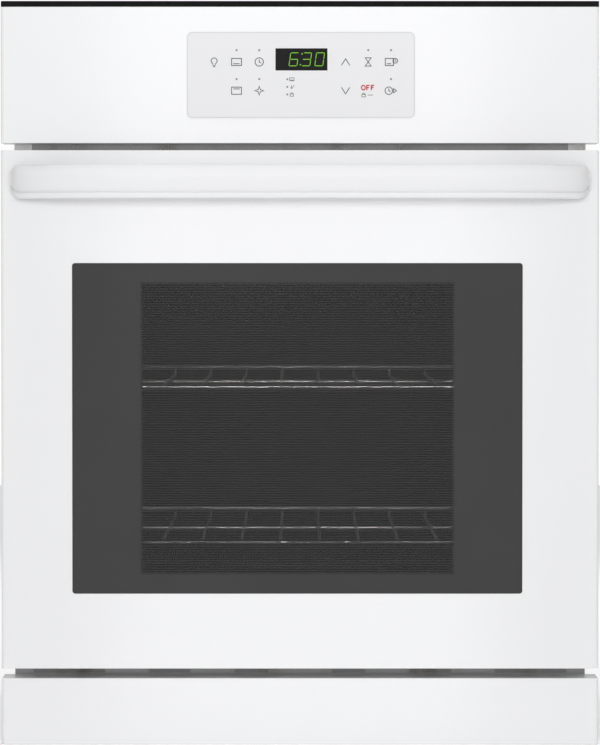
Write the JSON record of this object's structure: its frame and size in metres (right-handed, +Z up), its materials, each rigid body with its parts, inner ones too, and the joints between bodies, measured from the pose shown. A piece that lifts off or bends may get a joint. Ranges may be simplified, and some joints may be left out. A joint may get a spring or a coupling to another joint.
{
  "type": "wall oven",
  "caption": "Built-in wall oven: white panels, drop-down door with a dark window and bow handle, two wire racks in a ribbed cavity, self-clean latch.",
  "frame": {"origin": "underside of the base pan, on the centreline, at the cabinet face that the mounting flanges bear on", "axes": "+Z up, front faces -Y, +X to the right seen from the front"},
  "size_m": [0.6096, 0.633, 0.7586],
  "materials": {
    "galvanised_steel": "galvanised sheet",
    "frame_steel": "grey coated sheet",
    "flange_steel": "light grey coated sheet",
    "enamel": "speckled dark porcelain enamel",
    "mineral_wool": "mineral wool",
    "gasket": "woven glass-fibre tube",
    "element_sheath": "oxidised nickel alloy sheath",
    "bright_steel": "plain bright steel",
    "spring_steel": "spring steel",
    "rack_chrome": "bright plated wire",
    "clear_glass": "clear tempered glass",
    "dark_glass": "dark printed tempered glass",
    "white_enamel": "glossy white",
    "white_plastic": "white moulded",
    "overlay_film": "light grey membrane film",
    "display_black": "black lens",
    "circuit_board": "green laminate",
    "black_trim": "black satin",
    "vent_steel": "grey coated sheet",
    "motor_metal": "black lacquered stack",
    "wire_black": "wire sleeve",
    "cam_plastic": "amber nylon",
    "plunger_plastic": "red nylon"
  },
  "bodies": {
    "root": {"base_pan": "galvanised_steel", "side_panels": "galvanised_steel", "rear_panel": "galvanised_steel", "top_cover": "galvanised_steel", "front_frame": "frame_steel", "mounting_flanges": "flange_steel", "cavity_floor": "enamel", "cavity_ceiling": "enamel", "cavity_side_left": "enamel", "cavity_side_right": "enamel", "cavity_back": "enamel", "cavity_insulation": "mineral_wool", "door_gasket": "gasket", "bake_element": "element_sheath", "broil_element": "element_sheath", "temperature_probe": "bright_steel", "lamp_housing": "galvanised_steel", "lamp_bulb": "clear_glass", "lamp_lens": "clear_glass", "vent_tube": "galvanised_steel", "compartment_floor": "galvanised_steel", "air_duct": "galvanised_steel", "blower_housing": "galvanised_steel", "blower_motor": "motor_metal", "latch_bracket": "galvanised_steel", "latch_motor": "motor_metal", "control_panel": "white_enamel", "keypad_overlay": "overlay_film", "display_window": "display_black", "control_board": "circuit_board", "top_trim": "black_trim", "bottom_trim": "white_enamel", "lower_vent": "vent_steel", "upper_vent": "vent_steel", "junction_box": "galvanised_steel", "conduit_plate": "galvanised_steel", "wiring_harness": "wire_black", "door_switch": "white_plastic", "hinge_receptacles": "frame_steel", "hinge_arms": "bright_steel", "crank_pins": "bright_steel", "chassis_screws": "bright_steel"},
    "door": {"door_skin": "white_enamel", "door_glass_outer": "dark_glass", "door_glass_middle": "clear_glass", "door_glass_inner": "clear_glass", "window_frame": "bright_steel", "door_insulation": "mineral_wool", "door_liner": "enamel", "door_strike": "bright_steel", "door_handle": "white_plastic", "hinge_channels": "bright_steel", "hinge_pins": "bright_steel", "hinge_springs": "spring_steel", "door_screws": "bright_steel"},
    "hinge_rods": {"hinge_rods": "bright_steel"},
    "rack_upper": {"rack_upper": "rack_chrome"},
    "rack_lower": {"rack_lower": "rack_chrome"},
    "lamp_bail": {"lamp_bail": "bright_steel"},
    "blower_wheel": {"blower_wheel": "bright_steel"},
    "latch_cam": {"latch_cam": "cam_plastic"},
    "latch_hook": {"latch_hook": "bright_steel"},
    "switch_plunger": {"switch_plunger": "plunger_plastic"}
  },
  "joints": [
    {"name": "door_hinge", "type": "hinge", "parent": "root", "child": "door", "pos_m": [0, -0.024, 0.0995], "axis": [1, 0, 0], "range_deg": [0, 90]},
    {"name": "hinge_rod_slide", "type": "slide", "parent": "door", "child": "hinge_rods", "axis": [0, 0, 1], "range_m": [-0.015, 0], "deforming": ["hinge_springs"]},
    {"name": "rack_upper_slide", "type": "slide", "parent": "root", "child": "rack_upper", "axis": [0, -1, 0], "range_m": [0, 0.2105]},
    {"name": "rack_lower_slide", "type": "slide", "parent": "root", "child": "rack_lower", "axis": [0, -1, 0], "range_m": [0, 0.2105]},
    {"name": "lamp_bail_hinge", "type": "hinge", "parent": "root", "child": "lamp_bail", "pos_m": [0.15, 0.466, 0.498], "axis": [1, 0, 0], "range_deg": [0, 80]},
    {"name": "blower_spin", "type": "hinge", "parent": "root", "child": "blower_wheel", "pos_m": [-0.135, 0.33, 0.62], "axis": [0, 0, 1], "continuous": true},
    {"name": "latch_cam_turn", "type": "hinge", "parent": "root", "child": "latch_cam", "pos_m": [0, 0.052, 0.592], "axis": [0, 0, 1], "range_deg": [0, 90]},
    {"name": "latch_hook_swing", "type": "hinge", "parent": "root", "child": "latch_hook", "pos_m": [0, 0.03, 0.59], "axis": [0, 0, 1], "range_deg": [0, 18]},
    {"name": "door_switch_travel", "type": "slide", "parent": "root", "child": "switch_plunger", "axis": [0, -1, 0], "range_m": [0, 0.0041]}
  ],
  "couplings": [
    {"joint": "hinge_rod_slide", "follows": "door_hinge", "m_per_rad": -0.008913},
    {"joint": "rack_upper_slide", "follows": "door_hinge", "m_per_rad": 0.1337},
    {"joint": "rack_lower_slide", "follows": "door_hinge", "m_per_rad": 0.1337},
    {"joint": "door_switch_travel", "follows": "door_hinge", "m_per_rad": 0.00255},
    {"joint": "latch_hook_swing", "follows": "latch_cam_turn", "ratio": 0.1961}
  ]
}
